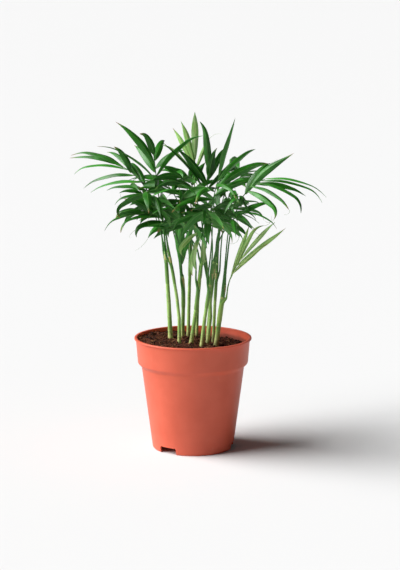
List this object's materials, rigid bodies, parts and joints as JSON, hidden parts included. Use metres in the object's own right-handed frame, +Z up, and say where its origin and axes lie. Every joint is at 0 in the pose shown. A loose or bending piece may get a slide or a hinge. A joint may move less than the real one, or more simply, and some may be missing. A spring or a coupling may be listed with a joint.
{
  "type": "potted palm",
  "caption": "Young parlour palms with upright stems and arching feathery fronds, growing together in a terracotta-coloured plastic nursery pot.",
  "frame": {"origin": "on the pot's axis, on the surface that the pot stands on", "axes": "+Z up along the pot's axis, -Y to the front, +X to the right as seen from the front"},
  "size_m": [0.262, 0.191, 0.342],
  "materials": {
    "pot_plastic": "satin",
    "potting_soil": "matte",
    "palm_stem": "satin",
    "palm_leaf": "satin",
    "young_palm_leaf": "satin"
  },
  "bodies": {
    "root": {"pot": "pot_plastic", "soil": "potting_soil", "palm_01_stem": "palm_stem", "palm_02_stem": "palm_stem", "palm_03_stem": "palm_stem", "palm_04_stem": "palm_stem", "palm_05_stem": "palm_stem", "palm_06_stem": "palm_stem", "palm_07_stem": "palm_stem", "palm_08_stem": "palm_stem", "palm_09_stem": "palm_stem", "palm_10_stem": "palm_stem", "palm_11_stem": "palm_stem", "palm_01_frond_1": "palm_leaf", "palm_01_frond_2": "palm_leaf", "palm_02_frond_1": "palm_leaf", "palm_02_frond_2": "palm_leaf", "palm_03_frond_1": "palm_leaf", "palm_03_frond_2": "palm_leaf", "palm_03_frond_3": "palm_leaf", "palm_04_frond_1": "young_palm_leaf", "palm_04_frond_2": "palm_leaf", "palm_04_frond_3": "palm_leaf", "palm_05_frond_1": "palm_leaf", "palm_05_frond_2": "young_palm_leaf", "palm_05_frond_3": "palm_leaf", "palm_06_frond_1": "palm_leaf", "palm_06_frond_2": "palm_leaf", "palm_06_frond_3": "palm_leaf", "palm_07_frond_1": "palm_leaf", "palm_07_frond_2": "palm_leaf", "palm_07_frond_3": "palm_leaf", "palm_08_frond_1": "palm_leaf", "palm_08_frond_2": "palm_leaf", "palm_09_frond_1": "palm_leaf", "palm_09_frond_2": "palm_leaf", "palm_10_frond_1": "palm_leaf", "palm_10_frond_2": "young_palm_leaf", "palm_10_frond_3": "palm_leaf", "palm_11_frond_1": "palm_leaf", "palm_11_frond_2": "palm_leaf"}
  },
  "joints": []
}
